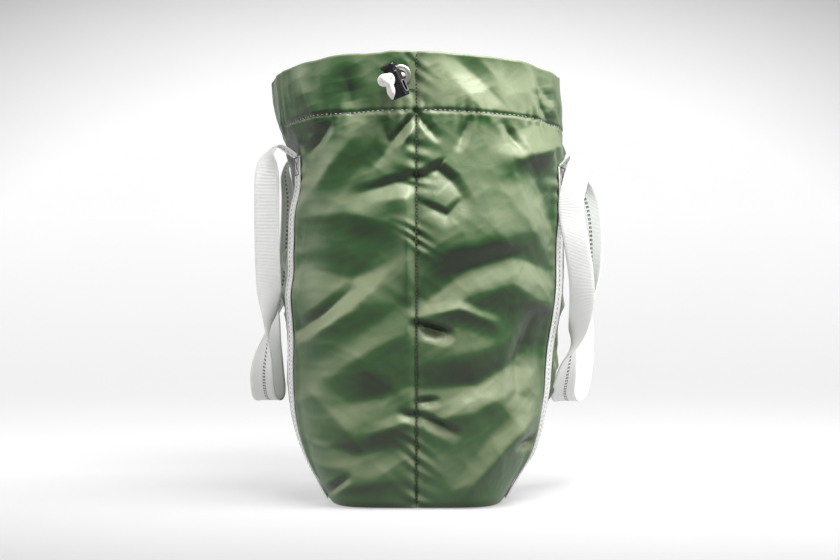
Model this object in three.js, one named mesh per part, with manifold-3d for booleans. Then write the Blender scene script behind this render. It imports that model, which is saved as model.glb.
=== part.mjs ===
// Rope storage bag: a tall drawstring bag of coated nylon with two webbing handles.
// Millimetres, +Z up, origin at the centre of the base on the floor.
// The narrow seamed face with the cord lock looks along -Y, the handles hang at +X and -X.
import * as THREE from 'three';
import Module from 'manifold-3d';

// ---- driving dimensions -------------------------------------------------------------
const RIM_Z = 434;              // height of the folded rim
const HEM_DEPTH = 56;           // drawstring casing, rim down to its stitch line
const STITCH_Z = RIM_Z - HEM_DEPTH;
const RIM_DROOP = 20;           // the rim hangs this much lower over the wide sides,
const DROOP_FROM = 345;         // and the cloth above this height goes with it
const CLOTH = 1.2;              // modelled thickness of cloth
const GAP = 0.3;                // air between pieces that are sewn or rest together
const LAP = 1;                  // air between long layers of cloth and webbing
const SEAM_HALF_GAP = 0.2;      // half the gap between the two side panels
const BINDING_W = 10;           // tape that covers the seams on the inside
const WEB_W = 25;               // webbing width
const WEB_T = 1.6;              // webbing thickness
const RUN_W = 23.75;            // webbing width where the stitches draw it in
const RUN_Y = 95;               // the sewn webbing runs at this distance from the middle
const RUN_FOOT_Z = 8;           // lower end of the sewn webbing
const RUN_TOP = { left: 340, right: 330 };
const CURL_R = 15;              // the webbing leaves the cloth in a curl of this radius
const CURL_ANGLE = Math.PI / 12;
const LOWER_ROWS = 0.75;        // share of a slab's rows below its bend or stitch line
const TACK = { width: 20, height: 18, line: 2.4, thick: 0.7 };   // box of zigzag thread
const CORD_D = 4.2;
const CORD_Z = 408;             // height of the drawcord in its casing
const TUNNEL = 11;              // bulge of the facing behind the cord
const EYELET = new THREE.Vector2(-14.7, 411);    // x and z of the cord outlet
const EYELET_R = 10;
const EYELET_HOLE_R = 4.9;
const EYELET_BARREL_R = 5.6;
const EYELET_RISE = 1.7;        // the eyelet stands this far out of the cloth
const EYELET_ROLL = 1.6;        // width of its rolled lips
const EYELET_SHEET = 0.7;       // thickness of its sheet metal
const PATCH = { size: 26, thick: 0.8 };          // cloth patch behind the eyelet
const PULL = new THREE.Vector3(-0.5, -0.8, -0.3).normalize();   // way the cord ends point
const LOCK = { w: 17, t: 12, foot: -20, top: 6, corner: 4, edge: 1.2 };
const LOCK_LEAN = THREE.MathUtils.degToRad(18);   // the lock's top leans to -X
const LOCK_OUT = 17;            // middle of the lock, measured along the cord ends
const KNOT_OUT = 32;            // middle of the knot
const KNOT = new THREE.Vector3(8.2, 6.8, 7.2);    // half sizes: across, along, upright
const PLUNGER_TRAVEL = 3;
const PLUNGER_HEAD = { height: 4, inset: 1.6 };
const WINDOW = { length: 9, width: 3.2, z: -11 };   // slot in the lock's narrow side
const SPRING = { r: 2.2, wire: 0.32, turns: 4, length: 6.2, gap: 0.8 };
const DRILL = 40;               // length of cutting tools, longer than any piece
const SIDES = { left: -1, right: 1 };
const ENDS = { near: -1, far: 1 };

// Outline of the standing bag: height, half width left, half width right, half depth and
// the squareness of the section (2 is an ellipse, larger numbers are squarer).
const OUTLINE = [
  [0, 86, 86, 150, 5.0],
  [20, 98, 98, 157, 4.4],
  [50, 114, 117, 163, 3.8],
  [95, 127, 131, 167, 3.3],
  [150, 131, 139, 169, 3.0],
  [210, 133, 148, 169, 3.0],
  [280, 129, 151, 168, 3.0],
  [345, 127, 151, 164, 3.0],
  [378, 138, 148, 162, 3.0],
  [406, 144, 149, 162, 3.0],
  [434, 147, 147, 162, 3.0],
];

function slope(i, k) {
  const lo = OUTLINE[Math.max(i - 1, 0)], hi = OUTLINE[Math.min(i + 1, OUTLINE.length - 1)];
  return (hi[k] - lo[k]) / (hi[0] - lo[0]);
}

// One value of the outline at height z, by a smooth curve through the stations.
function outline(z, k) {
  let i = 0;
  while (i < OUTLINE.length - 2 && z > OUTLINE[i + 1][0]) i++;
  const a = OUTLINE[i], b = OUTLINE[i + 1], h = b[0] - a[0];
  const t = Math.min(Math.max((z - a[0]) / h, 0), 1), t2 = t * t, t3 = t2 * t;
  return (2 * t3 - 3 * t2 + 1) * a[k] + (t3 - 2 * t2 + t) * h * slope(i, k)
    + (3 * t2 - 2 * t3) * b[k] + (t3 - t2) * h * slope(i + 1, k);
}

// Moves a point of the section outward (or inward when negative) along its level normal.
function offset(side, x, y, z, out) {
  const a = outline(z, side < 0 ? 1 : 2), b = outline(z, 3), n = outline(z, 4);
  const nx = side * (Math.abs(x) / a) ** (n - 1) / a;
  const ny = Math.sign(y) * (Math.abs(y) / b) ** (n - 1) / b;
  const len = Math.hypot(nx, ny);
  return new THREE.Vector3(x + out * nx / len, y + out * ny / len, z);
}

function droop(turn, z) {
  const t = Math.min(Math.max((z - DROOP_FROM) / (RIM_Z - DROOP_FROM), 0), 1);
  return RIM_DROOP * t * (2 - t) * Math.sin(Math.PI * turn) ** 2;
}

// Point of the bag's skin by its turn around the bag: 0 near seam, 1 far seam.
function skin(side, turn, z, out) {
  const a = outline(z, side < 0 ? 1 : 2), b = outline(z, 3), n = outline(z, 4);
  const c = Math.cos(Math.PI * turn), s = Math.sin(Math.PI * turn);
  const r = ((Math.abs(s) / a) ** n + (Math.abs(c) / b) ** n) ** (-1 / n);
  const p = offset(side, side * r * s, -r * c, z, out);
  p.z -= droop(turn, z);
  return p;
}

// Point of the bag's skin by its y, for the webbing that runs up the wide sides.
function skinAtY(side, y, z, out) {
  const a = outline(z, side < 0 ? 1 : 2), b = outline(z, 3), n = outline(z, 4);
  return offset(side, side * a * (1 - (Math.abs(y) / b) ** n) ** (1 / n), y, z, out);
}

// Point of the skin by its x, for things at the seams of the narrow faces.
function skinAtX(end, x, z, out) {
  const side = x < 0 ? -1 : 1;
  const a = outline(z, side < 0 ? 1 : 2), b = outline(z, 3), n = outline(z, 4);
  return offset(side, x, end * b * (1 - (Math.abs(x) / a) ** n) ** (1 / n), z, out);
}

// ---- geometry helpers ---------------------------------------------------------------
function faceOutward(geometry) {
  const p = geometry.attributes.position, index = geometry.index.array;
  const a = new THREE.Vector3(), b = new THREE.Vector3(), c = new THREE.Vector3();
  let volume = 0;
  for (let i = 0; i < index.length; i += 3) {
    a.fromBufferAttribute(p, index[i]);
    b.fromBufferAttribute(p, index[i + 1]);
    c.fromBufferAttribute(p, index[i + 2]);
    volume += a.dot(b.cross(c));
  }
  if (volume < 0) {
    for (let i = 0; i < index.length; i += 3) {
      [index[i + 1], index[i + 2]] = [index[i + 2], index[i + 1]];
    }
  }
  geometry.computeVertexNormals();
  return geometry;
}

// A slab of cloth: a segmented block whose points are moved by place(u, v, w), each 0 to 1.
function slab(nu, nv, place) {
  const block = new THREE.BoxGeometry(1, 1, 1, nu, nv, 1);
  // Both broad faces are split along the same diagonals, so a twisted slab keeps its thickness.
  const back = block.groups[5], index = block.index.array;
  for (let i = back.start; i < back.start + back.count; i += 6) {
    const [a, b, d, , c] = index.slice(i, i + 6);
    index.set([a, b, c, a, c, d], i);
  }
  const p = block.attributes.position;
  for (let i = 0; i < p.count; i++) {
    const q = place(p.getX(i) + 0.5, p.getY(i) + 0.5, p.getZ(i) + 0.5);
    p.setXYZ(i, q.x, q.y, q.z);
  }
  return faceOutward(block);
}

// A strap through stations [x, y, z, turn]; the turn is the level heading of its width.
function strap(stations, steps) {
  const path = new THREE.CatmullRomCurve3(
    stations.map(([x, y, z]) => new THREE.Vector3(x, y, z)), false, 'centripetal');
  return slab(2, steps, (u, v, w) => {
    const t = path.getUtoTmapping(v);
    const centre = path.getPoint(t), along = path.getTangent(t);
    const span = t * (stations.length - 1), i = Math.min(Math.floor(span), stations.length - 2);
    const f = span - i, ease = f * f * (3 - 2 * f);
    const turn = THREE.MathUtils.degToRad(
      stations[i][3] * (1 - ease) + stations[i + 1][3] * ease);
    const across = new THREE.Vector3(Math.cos(turn), Math.sin(turn), 0);
    across.addScaledVector(along, -across.dot(along)).normalize();
    const face = new THREE.Vector3().crossVectors(along, across);
    return centre.addScaledVector(across, (u - 0.5) * WEB_W)
      .addScaledVector(face, (w - 0.5) * WEB_T);
  });
}

// A round cord along a list of points.
function cord(points, steps, radius, sides) {
  const path = new THREE.CatmullRomCurve3(points, false, 'centripetal');
  const round = new THREE.Shape();
  round.absarc(0, 0, radius, 0, 2 * Math.PI);
  return new THREE.ExtrudeGeometry(round,
    { steps, extrudePath: path, bevelEnabled: false, curveSegments: sides });
}

function roundedBlock(w, t, l, corner, edge) {
  const s = new THREE.Shape(), x = w / 2 - edge, y = t / 2 - edge, r = corner - edge;
  s.absarc(x - r, y - r, r, 0, Math.PI / 2);
  s.absarc(-x + r, y - r, r, Math.PI / 2, Math.PI);
  s.absarc(-x + r, -y + r, r, Math.PI, 1.5 * Math.PI);
  s.absarc(x - r, -y + r, r, 1.5 * Math.PI, 2 * Math.PI);
  return new THREE.ExtrudeGeometry(s, { depth: l - 2 * edge, bevelEnabled: edge > 0,
    bevelThickness: edge, bevelSize: edge, bevelSegments: 2, curveSegments: 5 })
    .translate(0, 0, edge);
}

const wasm = await Module();
wasm.setup();

function solid(geometry) {
  const source = geometry.index ? geometry.toNonIndexed() : geometry;
  const p = source.attributes.position, known = new Map(), verts = [], tris = [];
  for (let i = 0; i < p.count; i++) {
    const xyz = [p.getX(i), p.getY(i), p.getZ(i)];
    const key = xyz.map((c) => Math.round(c * 1e4)).join();
    if (!known.has(key)) {
      known.set(key, verts.length / 3);
      verts.push(...xyz);
    }
    tris.push(known.get(key));
  }
  const clean = [];
  for (let i = 0; i < tris.length; i += 3) {
    const [a, b, c] = tris.slice(i, i + 3);
    if (a !== b && b !== c && a !== c) clean.push(a, b, c);
  }
  return new wasm.Manifold(new wasm.Mesh({ numProp: 3,
    vertProperties: new Float32Array(verts), triVerts: new Uint32Array(clean) }));
}

function fromSolid(manifold) {
  const mesh = manifold.getMesh(), geometry = new THREE.BufferGeometry();
  geometry.setAttribute('position', new THREE.BufferAttribute(mesh.vertProperties, 3));
  geometry.setIndex(new THREE.BufferAttribute(mesh.triVerts, 1));
  geometry.computeVertexNormals();
  return geometry;
}

// ---- materials ----------------------------------------------------------------------
const paint = (color, roughness, metalness = 0) =>
  new THREE.MeshStandardMaterial({ color, roughness, metalness });
const MATERIALS = {
  shell: paint(0x5d7d4e, 0.45),
  lining: paint(0x4c6742, 0.6),
  webbing: paint(0xf1f1ee, 0.85),
  thread: paint(0x23252a, 0.8),
  metal: paint(0xc9cac6, 0.25, 1),
  cord: paint(0xf3f0e8, 0.9),
  plastic: paint(0x0d0d0f, 0.22),
};

const bag = new THREE.Group();
bag.name = 'rope_storage_bag';
function add(name, geometry, material) {
  const mesh = new THREE.Mesh(geometry, MATERIALS[material]);
  mesh.name = name;
  bag.add(mesh);
  return mesh;
}

// ---- bag body -----------------------------------------------------------------------
// Eyelet frame: axis across the cloth, its z pointing out of the bag along -Y.
const outletY = skinAtX(-1, EYELET.x, EYELET.y, 0).y;
const outlet = new THREE.Vector3(EYELET.x, outletY, EYELET.y);
const toOutlet = new THREE.Matrix4().makeRotationX(Math.PI / 2).setPosition(outlet);

function punched(geometry, radius) {
  const drill = new THREE.CylinderGeometry(radius, radius, DRILL, 32)
    .rotateX(Math.PI / 2).applyMatrix4(toOutlet);
  return fromSolid(solid(geometry).subtract(solid(drill)));
}

const PANEL_FOOT = CLOTH + GAP;
for (const [name, side] of Object.entries(SIDES)) {
  const edge = (y) => SEAM_HALF_GAP / (Math.PI * Math.abs(y));
  const panel = slab(22, 20, (u, v, w) => {
    const z = v < LOWER_ROWS ? PANEL_FOOT + v / LOWER_ROWS * (STITCH_Z - PANEL_FOOT)
      : STITCH_Z + (v - LOWER_ROWS) / (1 - LOWER_ROWS) * HEM_DEPTH;
    const trim = edge(outline(z, 3) - CLOTH);
    return skin(side, trim + u * (1 - 2 * trim), z, (w - 1) * CLOTH);
  });
  add(`panel_${name}`, side < 0 ? punched(panel, EYELET_BARREL_R + GAP) : panel, 'shell');

  const facing = slab(22, 5, (u, v, w) => {
    const z = STITCH_Z + v * HEM_DEPTH;
    const inset = CLOTH + GAP + TUNNEL * Math.sin(Math.PI * v) + (1 - w) * CLOTH;
    const trim = edge(outline(z, 3) - inset);
    return skin(side, trim + u * (1 - 2 * trim), z, -inset);
  });
  add(`hem_facing_${name}`, facing, 'lining');
}

// A flat plate with the bag's outline at one height, drawn in by the inset.
function plate(level, inset, thickness) {
  const outlineShape = new THREE.Shape(Array.from({ length: 64 }, (_, i) => {
    const turn = i / 32, side = turn < 1 ? 1 : -1;
    const p = skin(side, turn < 1 ? turn : 2 - turn, level, -inset);
    return new THREE.Vector2(p.x, p.y);
  }));
  return new THREE.ExtrudeGeometry(outlineShape, { depth: thickness, bevelEnabled: false });
}
add('base_panel', plate(0, 0, CLOTH), 'shell');

// Tape that closes the base seam on the inside, a low ring that follows the foot.
function footRing(inset, z, height) {
  return solid(plate(PANEL_FOOT, inset, height).translate(0, 0, z));
}
const tapeFoot = PANEL_FOOT + 1, tapeInset = 2 * CLOTH + GAP;
add('base_seam_tape', fromSolid(footRing(tapeInset, tapeFoot, BINDING_W)
  .subtract(footRing(tapeInset + CLOTH, tapeFoot - 1, BINDING_W + 2))), 'lining');

for (const [name, end] of Object.entries(ENDS)) {
  const foot = tapeFoot + BINDING_W + 1, top = STITCH_Z - 1;
  add(`seam_tape_${name}`, slab(2, 12, (u, v, w) => skinAtX(end, (u - 0.5) * BINDING_W,
    foot + v * (top - foot), -CLOTH - LAP - (1 - w) * CLOTH)), 'lining');
}

// ---- webbing ------------------------------------------------------------------------
// Stations of each free handle loop: x, y, z and the heading of the width in degrees.
const HANDLES = {
  left: [
    [-126, -95, 344, 90], [-135, -95, 349.5, 94], [-144, -96, 343, 112], [-147, -97, 332, 148],
    [-147, -98, 317, 172], [-147, -98, 296, 180], [-147, -96, 257, 180], [-146, -92, 218, 190],
    [-145, -83, 187, 235], [-149, -70, 158, 288], [-156, -50, 126, 335], [-157, -22, 101, 362],
    [-153, 5, 94, 366], [-151, 30, 102, 360], [-155, 52, 127, 350], [-157, 68, 154, 325],
    [-152, 82, 182, 275], [-146, 90, 213, 240], [-142, 95, 263, 233], [-141, 96, 307, 236],
    [-144, 96, 330, 248], [-143, 95, 343, 264], [-135, 95, 349.5, 270], [-126, 95, 344, 270],
  ],
  right: [
    [150.5, -96, 335, 270], [156, -98, 339.5, 255], [159, -103, 333, 225],
    [156, -109, 318, 192], [151, -112, 298, 180], [151, -112, 280, 180], [155, -112, 257, 180],
    [160, -108, 228, 178], [162, -102, 203, 165], [160, -92, 178, 140], [156, -80, 160, 110],
    [153, -66, 143, 65], [150, -46, 118, 30], [150, -22, 101, 10], [157, 5, 93, 5],
    [169, 30, 102, 0], [176, 52, 125, 0], [182, 68, 149, 35], [188, 80, 172, 62],
    [191, 87, 194, 90], [193, 92, 230, 130], [193, 95, 267, 152], [189, 96, 300, 160],
    [180, 96, 322, 145], [168, 95, 336, 108], [159, 95, 339, 93], [151, 95, 334, 90],
  ],
};

// A sewn run: flat on the cloth from the base seam up, then curling off the cloth on top.
function sewnRun(side, end, top) {
  const flat = top - RUN_FOOT_Z, curl = CURL_R * CURL_ANGLE;
  return slab(2, 24, (u, v, w) => {
    const y = end * RUN_Y + (u - 0.5) * RUN_W;
    const run = v < LOWER_ROWS ? v / LOWER_ROWS * flat
      : flat + (v - LOWER_ROWS) / (1 - LOWER_ROWS) * curl;
    if (run <= flat) return skinAtY(side, y, RUN_FOOT_Z + run, LAP + w * WEB_T);
    const p = skinAtY(side, y, top, 0), angle = (run - flat) / CURL_R;
    const r = CURL_R - LAP - w * WEB_T;
    p.x += side * (CURL_R - r * Math.cos(angle));
    p.z += r * Math.sin(angle);
    return p;
  });
}

function rectangle(w, h, step, Kind) {
  const points = [], nx = Math.round(w / step), ny = Math.round(h / step);
  for (let i = 0; i < nx; i++) points.push([-w / 2 + i * w / nx, -h / 2]);
  for (let i = 0; i < ny; i++) points.push([w / 2, -h / 2 + i * h / ny]);
  for (let i = 0; i < nx; i++) points.push([w / 2 - i * w / nx, h / 2]);
  for (let i = 0; i < ny; i++) points.push([-w / 2, h / 2 - i * h / ny]);
  return new Kind(points.map(([x, y]) => new THREE.Vector2(x, y)));
}

function boxTack(side, end, top) {
  const frame = rectangle(TACK.width, TACK.height, 5, THREE.Shape);
  frame.holes.push(rectangle(TACK.width - 2 * TACK.line, TACK.height - 2 * TACK.line,
    5, THREE.Path));
  const flat = new THREE.ExtrudeGeometry(frame, { depth: TACK.thick, bevelEnabled: false });
  const p = flat.attributes.position, middle = top - TACK.height / 2 - 1;
  for (let i = 0; i < p.count; i++) {
    const q = skinAtY(side, end * RUN_Y + side * p.getX(i), middle + p.getY(i),
      LAP + WEB_T + GAP + p.getZ(i));
    p.setXYZ(i, q.x, q.y, q.z);
  }
  return fromSolid(solid(flat));
}

for (const [name, side] of Object.entries(SIDES)) {
  for (const [which, end] of Object.entries(ENDS)) {
    add(`webbing_${name}_${which}`, sewnRun(side, end, RUN_TOP[name]), 'webbing');
    add(`bar_tack_${name}_${which}`, boxTack(side, end, RUN_TOP[name]), 'thread');
  }
  add(`handle_${name}`, strap(HANDLES[name], 72), 'webbing');
}

// ---- eyelet -------------------------------------------------------------------------
function ring(profile) {
  const points = [...profile, profile[0]].map(([r, z]) => new THREE.Vector2(r, z));
  const geometry = new THREE.LatheGeometry(points, 24).rotateX(Math.PI / 2);
  return faceOutward(geometry.applyMatrix4(toOutlet));
}
const patchBack = -CLOTH - GAP, washerBack = patchBack - PATCH.thick - GAP;
const washerR = EYELET_R - 0.6;
const lipR = EYELET_BARREL_R + EYELET_ROLL, lipBack = washerBack - EYELET_SHEET - GAP;
add('eyelet', ring([[EYELET_HOLE_R, lipBack - EYELET_SHEET], [lipR, lipBack - EYELET_SHEET],
  [lipR, lipBack], [EYELET_BARREL_R, lipBack], [EYELET_BARREL_R, GAP],
  [EYELET_R, GAP], [EYELET_R - 0.3, EYELET_RISE - 0.6], [EYELET_R - EYELET_ROLL, EYELET_RISE],
  [EYELET_BARREL_R + 0.6, EYELET_RISE], [EYELET_HOLE_R, EYELET_RISE - 0.7]]), 'metal');
add('eyelet_washer', ring([[EYELET_BARREL_R + GAP, washerBack - EYELET_SHEET],
  [washerR, washerBack - EYELET_SHEET], [washerR, washerBack],
  [EYELET_BARREL_R + GAP, washerBack]]), 'metal');
const patch = slab(4, 4, (u, v, w) => skinAtX(-1, EYELET.x + (u - 0.5) * PATCH.size,
  EYELET.y + (v - 0.5) * PATCH.size, patchBack - (1 - w) * PATCH.thick));
add('eyelet_patch', punched(patch, EYELET_BARREL_R + GAP), 'lining');

// ---- drawcord -----------------------------------------------------------------------
// The cord lies in the casing all the way round; both ends turn out through the eyelet.
const CORD_INSET = 6.6, APART = CORD_D / 2 + 0.08, BARREL_END = 5.3;
const turnOut = (s) => [[APART, BARREL_END], [APART + 0.6, BARREL_END + 1.9],
  [APART + 2.2, BARREL_END + 3.4], [APART + 4.6, BARREL_END + 3.9],
  [APART + 9, BARREL_END + 3.2]].map(([x, depth]) =>
  new THREE.Vector3(outlet.x + s * x, outlet.y + depth, outlet.z));
const around = [];
for (let i = 1; i < 48; i++) {
  const turn = i / 24;
  const p = skin(turn < 1 ? 1 : -1, turn < 1 ? turn : 2 - turn, CORD_Z, -CORD_INSET);
  if (Math.hypot(p.x - outlet.x, p.y - outlet.y) > 18) around.push(p);
}
add('drawcord', cord([...turnOut(1), ...around, ...turnOut(-1).reverse()], 104,
  CORD_D / 2, 4), 'cord');

// Lock frame: x across the lock, y along the cord ends, z up the lock.
const lockUp = new THREE.Vector3(-Math.sin(LOCK_LEAN), 0, Math.cos(LOCK_LEAN));
lockUp.addScaledVector(PULL, -lockUp.dot(PULL)).normalize();
const lockAcross = new THREE.Vector3().crossVectors(PULL, lockUp);
const bend = outlet.clone().add(new THREE.Vector3(0, -3, 0));
const onEnds = (d) => bend.clone().addScaledVector(PULL, d - 3);
function lockFrame(d) {
  return new THREE.Matrix4().makeBasis(lockAcross, PULL, lockUp).setPosition(onEnds(d));
}

function cordEnd(s) {
  const inside = [-4.4, -2.6, -0.8, 1].map((out) =>
    new THREE.Vector3(outlet.x + s * APART, outlet.y - out, outlet.z));
  const right = lockAcross.clone().multiplyScalar(-s * APART);
  const outside = [7.5, 9.5, 12, 15, 18, 21, KNOT_OUT - KNOT.y - GAP].map((d) =>
    onEnds(d).add(right));
  return cord([...inside, ...outside], 26, CORD_D / 2, 4);
}
add('cord_end_a', cordEnd(1), 'cord');
add('cord_end_b', cordEnd(-1), 'cord');

function cutEnd(s) {
  return cord([new THREE.Vector3(s * 1.5, 0, -1), new THREE.Vector3(s * 2, 0.5, -6),
    new THREE.Vector3(s * 1.9, 0.3, -11), new THREE.Vector3(s * 1.2, 0, -16)], 10, CORD_D / 2, 4);
}
const knot = solid(new THREE.SphereGeometry(1, 16, 10).scale(KNOT.x, KNOT.y, KNOT.z))
  .add(solid(cutEnd(1))).add(solid(cutEnd(-1)));
add('cord_knot', fromSolid(knot).applyMatrix4(lockFrame(KNOT_OUT)), 'cord');

// ---- cord lock ----------------------------------------------------------------------
function slot(w, h, depth) {
  const s = new THREE.Shape(), r = h / 2, x = w / 2 - r;
  s.absarc(x, 0, r, -Math.PI / 2, Math.PI / 2);
  s.absarc(-x, 0, r, Math.PI / 2, 1.5 * Math.PI);
  return new THREE.ExtrudeGeometry(s, { depth, bevelEnabled: false, curveSegments: 6 })
    .translate(0, 0, -depth / 2);
}
const CAVITY = { w: 11.4, t: 7.4, floor: LOCK.foot + 2.5 };
const STEM = { w: CAVITY.w - 2 * GAP, t: CAVITY.t - 2 * GAP, foot: -6.5 };
const place = lockFrame(LOCK_OUT);
const body = solid(roundedBlock(LOCK.w, LOCK.t, LOCK.top - LOCK.foot, LOCK.corner, LOCK.edge)
  .translate(0, 0, LOCK.foot))
  .subtract(solid(new THREE.BoxGeometry(CAVITY.w, CAVITY.t, DRILL)
    .translate(0, 0, CAVITY.floor + DRILL / 2)))
  .subtract(solid(slot(2 * CORD_D + 1.2, CORD_D + 1, DRILL).rotateX(Math.PI / 2)))
  .subtract(solid(slot(WINDOW.length, WINDOW.width, 10).rotateY(Math.PI / 2)
    .translate(-LOCK.w / 2, 0, WINDOW.z)));
add('cord_lock_body', fromSolid(body).applyMatrix4(place), 'plastic');

const headFoot = LOCK.top + PLUNGER_TRAVEL + GAP;
const stemHole = CORD_D + 2 * GAP + PLUNGER_TRAVEL;
const plunger = solid(new THREE.BoxGeometry(STEM.w, STEM.t, headFoot + 1 - STEM.foot)
  .translate(0, 0, (headFoot + 1 + STEM.foot) / 2))
  .add(solid(roundedBlock(LOCK.w - PLUNGER_HEAD.inset, LOCK.t - PLUNGER_HEAD.inset,
    PLUNGER_HEAD.height, LOCK.corner - 0.6, LOCK.edge).translate(0, 0, headFoot)))
  .subtract(solid(new THREE.BoxGeometry(2 * CORD_D + 0.9, DRILL, stemHole)
    .translate(0, 0, PLUNGER_TRAVEL / 2)));
add('cord_lock_plunger', fromSolid(plunger).applyMatrix4(place), 'plastic');

// Return spring, drawn at its pressed length under the plunger.
const coil = Array.from({ length: 10 * SPRING.turns + 1 }, (_, i) => new THREE.Vector3(
  SPRING.r * Math.cos(i * Math.PI / 5), SPRING.r * Math.sin(i * Math.PI / 5),
  STEM.foot - SPRING.gap - i * SPRING.length / (10 * SPRING.turns)));
add('cord_lock_spring', cord(coil, 80, SPRING.wire, 2).applyMatrix4(place), 'metal');

export default bag;
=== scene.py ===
"""Rope storage bag: coated nylon drawstring bag with two webbing handles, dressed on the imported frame."""
import math
import bpy
import numpy as np
from mathutils import Matrix, Vector


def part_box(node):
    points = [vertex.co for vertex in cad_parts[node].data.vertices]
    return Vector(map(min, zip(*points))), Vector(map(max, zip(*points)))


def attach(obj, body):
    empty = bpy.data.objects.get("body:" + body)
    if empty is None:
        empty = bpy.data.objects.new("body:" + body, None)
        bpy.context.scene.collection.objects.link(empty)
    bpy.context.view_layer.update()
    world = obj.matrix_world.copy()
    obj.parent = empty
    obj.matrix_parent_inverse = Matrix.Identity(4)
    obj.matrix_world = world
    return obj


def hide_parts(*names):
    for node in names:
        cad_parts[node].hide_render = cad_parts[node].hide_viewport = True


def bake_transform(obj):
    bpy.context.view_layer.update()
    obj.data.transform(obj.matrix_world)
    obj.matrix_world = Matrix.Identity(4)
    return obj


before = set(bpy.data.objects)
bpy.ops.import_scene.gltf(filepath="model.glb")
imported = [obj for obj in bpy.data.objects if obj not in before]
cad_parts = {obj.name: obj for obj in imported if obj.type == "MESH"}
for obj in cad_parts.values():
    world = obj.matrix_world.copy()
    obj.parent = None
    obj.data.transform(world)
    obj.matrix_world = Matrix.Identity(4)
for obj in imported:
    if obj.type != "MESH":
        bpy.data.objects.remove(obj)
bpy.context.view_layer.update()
MM = 0.001



def link(obj):
    bpy.context.collection.objects.link(obj)
    return obj


# ---- camera ---------------------------------------------------------------------------
CAMERA_AWAY = 1.75
CAMERA_HEIGHT = 0.208


def make_camera():
    data = bpy.data.cameras.new("camera")
    data.lens = 72.1
    data.sensor_width = 36
    data.shift_y = 0.0119
    camera = link(bpy.data.objects.new("camera", data))
    camera.location = (0.0034, -CAMERA_AWAY, CAMERA_HEIGHT)
    camera.rotation_euler = (math.pi / 2, 0, 0)
    bpy.context.scene.camera = camera


make_camera()

# ---- sizes read from the frame ----------------------------------------------------------
RIM_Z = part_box("panel_right")[1][2] / MM
STITCH_Z = RIM_Z - 56.0
RIM_DROOP, DROOP_FROM = 20.0, 345.0
NAMES = {-1: "left", 1: "right"}
ENDS = {-1: "near", 1: "far"}
RUN_TOP = {side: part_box(f"bar_tack_{name}_near")[1][2] / MM + 1 for side, name in NAMES.items()}
EYELET = (np.array(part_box("eyelet")[0]) + np.array(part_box("eyelet")[1])) / 2 / MM
HALF_ROUND = 560.0      # length along the rim from the near seam to the far one
FOOT_Z = 1.4            # lowest edge of the side panels
RUN_Y = 95.0            # the sewn webbing lies this far to each side of the middle
RUN_OUT = 1.3           # and its middle stands this far out of the cloth
WEB_W = 25.0
WEB_T = 1.6
CORD_R = 2.1
CORD_LEVEL = 408.0
CORD_INSET = 7.6
UP = np.array([0.0, 0.0, 1.0])

# Outline of the standing bag, as in the CAD: height, half width left, half width right,
# half depth and squareness of the section.
OUTLINE = np.array([
    (0, 86, 86, 150, 5.0), (20, 98, 98, 157, 4.4), (50, 114, 117, 163, 3.8),
    (95, 127, 131, 167, 3.3), (150, 131, 139, 169, 3.0), (210, 133, 148, 169, 3.0),
    (280, 129, 151, 168, 3.0), (345, 127, 151, 164, 3.0), (378, 138, 148, 162, 3.0),
    (406, 144, 149, 162, 3.0), (434, 147, 147, 162, 3.0)])


def outline(z, column):
    """One value of the outline at heights z, by a smooth curve through the stations."""
    h, v = OUTLINE[:, 0], OUTLINE[:, column]
    slope = np.gradient(v, h)
    slope[0], slope[-1] = (v[1] - v[0]) / (h[1] - h[0]), (v[-1] - v[-2]) / (h[-1] - h[-2])
    z = np.clip(z, h[0], h[-1])
    i = np.clip(np.searchsorted(h, z, side="right") - 1, 0, len(h) - 2)
    step = h[i + 1] - h[i]
    t = (z - h[i]) / step
    return ((2 * t**3 - 3 * t**2 + 1) * v[i] + (t**3 - 2 * t**2 + t) * step * slope[i]
            + (3 * t**2 - 2 * t**3) * v[i + 1] + (t**3 - t**2) * step * slope[i + 1])


def half_width(side, z):
    return outline(z, 1 if side < 0 else 2)


def droop(turn, z):
    """The mouth hangs lower over the wide sides, by this much."""
    t = np.clip((z - DROOP_FROM) / (RIM_Z - DROOP_FROM), 0, 1)
    return RIM_DROOP * t * (2 - t) * np.sin(np.pi * turn) ** 2


def level_normal(side, x, y, z):
    a, b, n = half_width(side, z), outline(z, 3), outline(z, 4)
    nx = side * (np.abs(x) / a) ** (n - 1) / a
    ny = np.sign(y) * (np.abs(y) / b) ** (n - 1) / b
    size = np.hypot(nx, ny)
    return nx / size, ny / size


def skin(side, turn, z):
    """Points of the undented skin and their outward normals; turn is 0 near seam, 1 far seam."""
    a, b, n = half_width(side, z), outline(z, 3), outline(z, 4)
    c, s = np.cos(np.pi * turn), np.sin(np.pi * turn)
    r = ((np.abs(s) / a) ** n + (np.abs(c) / b) ** n) ** (-1 / n)
    x, y = side * r * s, -r * c
    nx, ny = level_normal(side, x, np.where(y == 0, 1e-9, y), z)
    return x, y, nx, ny


def skin_at_y(side, y, z):
    a, b, n = half_width(side, z), outline(z, 3), outline(z, 4)
    x = side * a * (1 - (np.abs(y) / b) ** n) ** (1 / n)
    nx, ny = level_normal(side, x, y, z)
    return x, nx, ny


# ---- noise ------------------------------------------------------------------------------
NOISE_TABLES = {}


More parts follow.
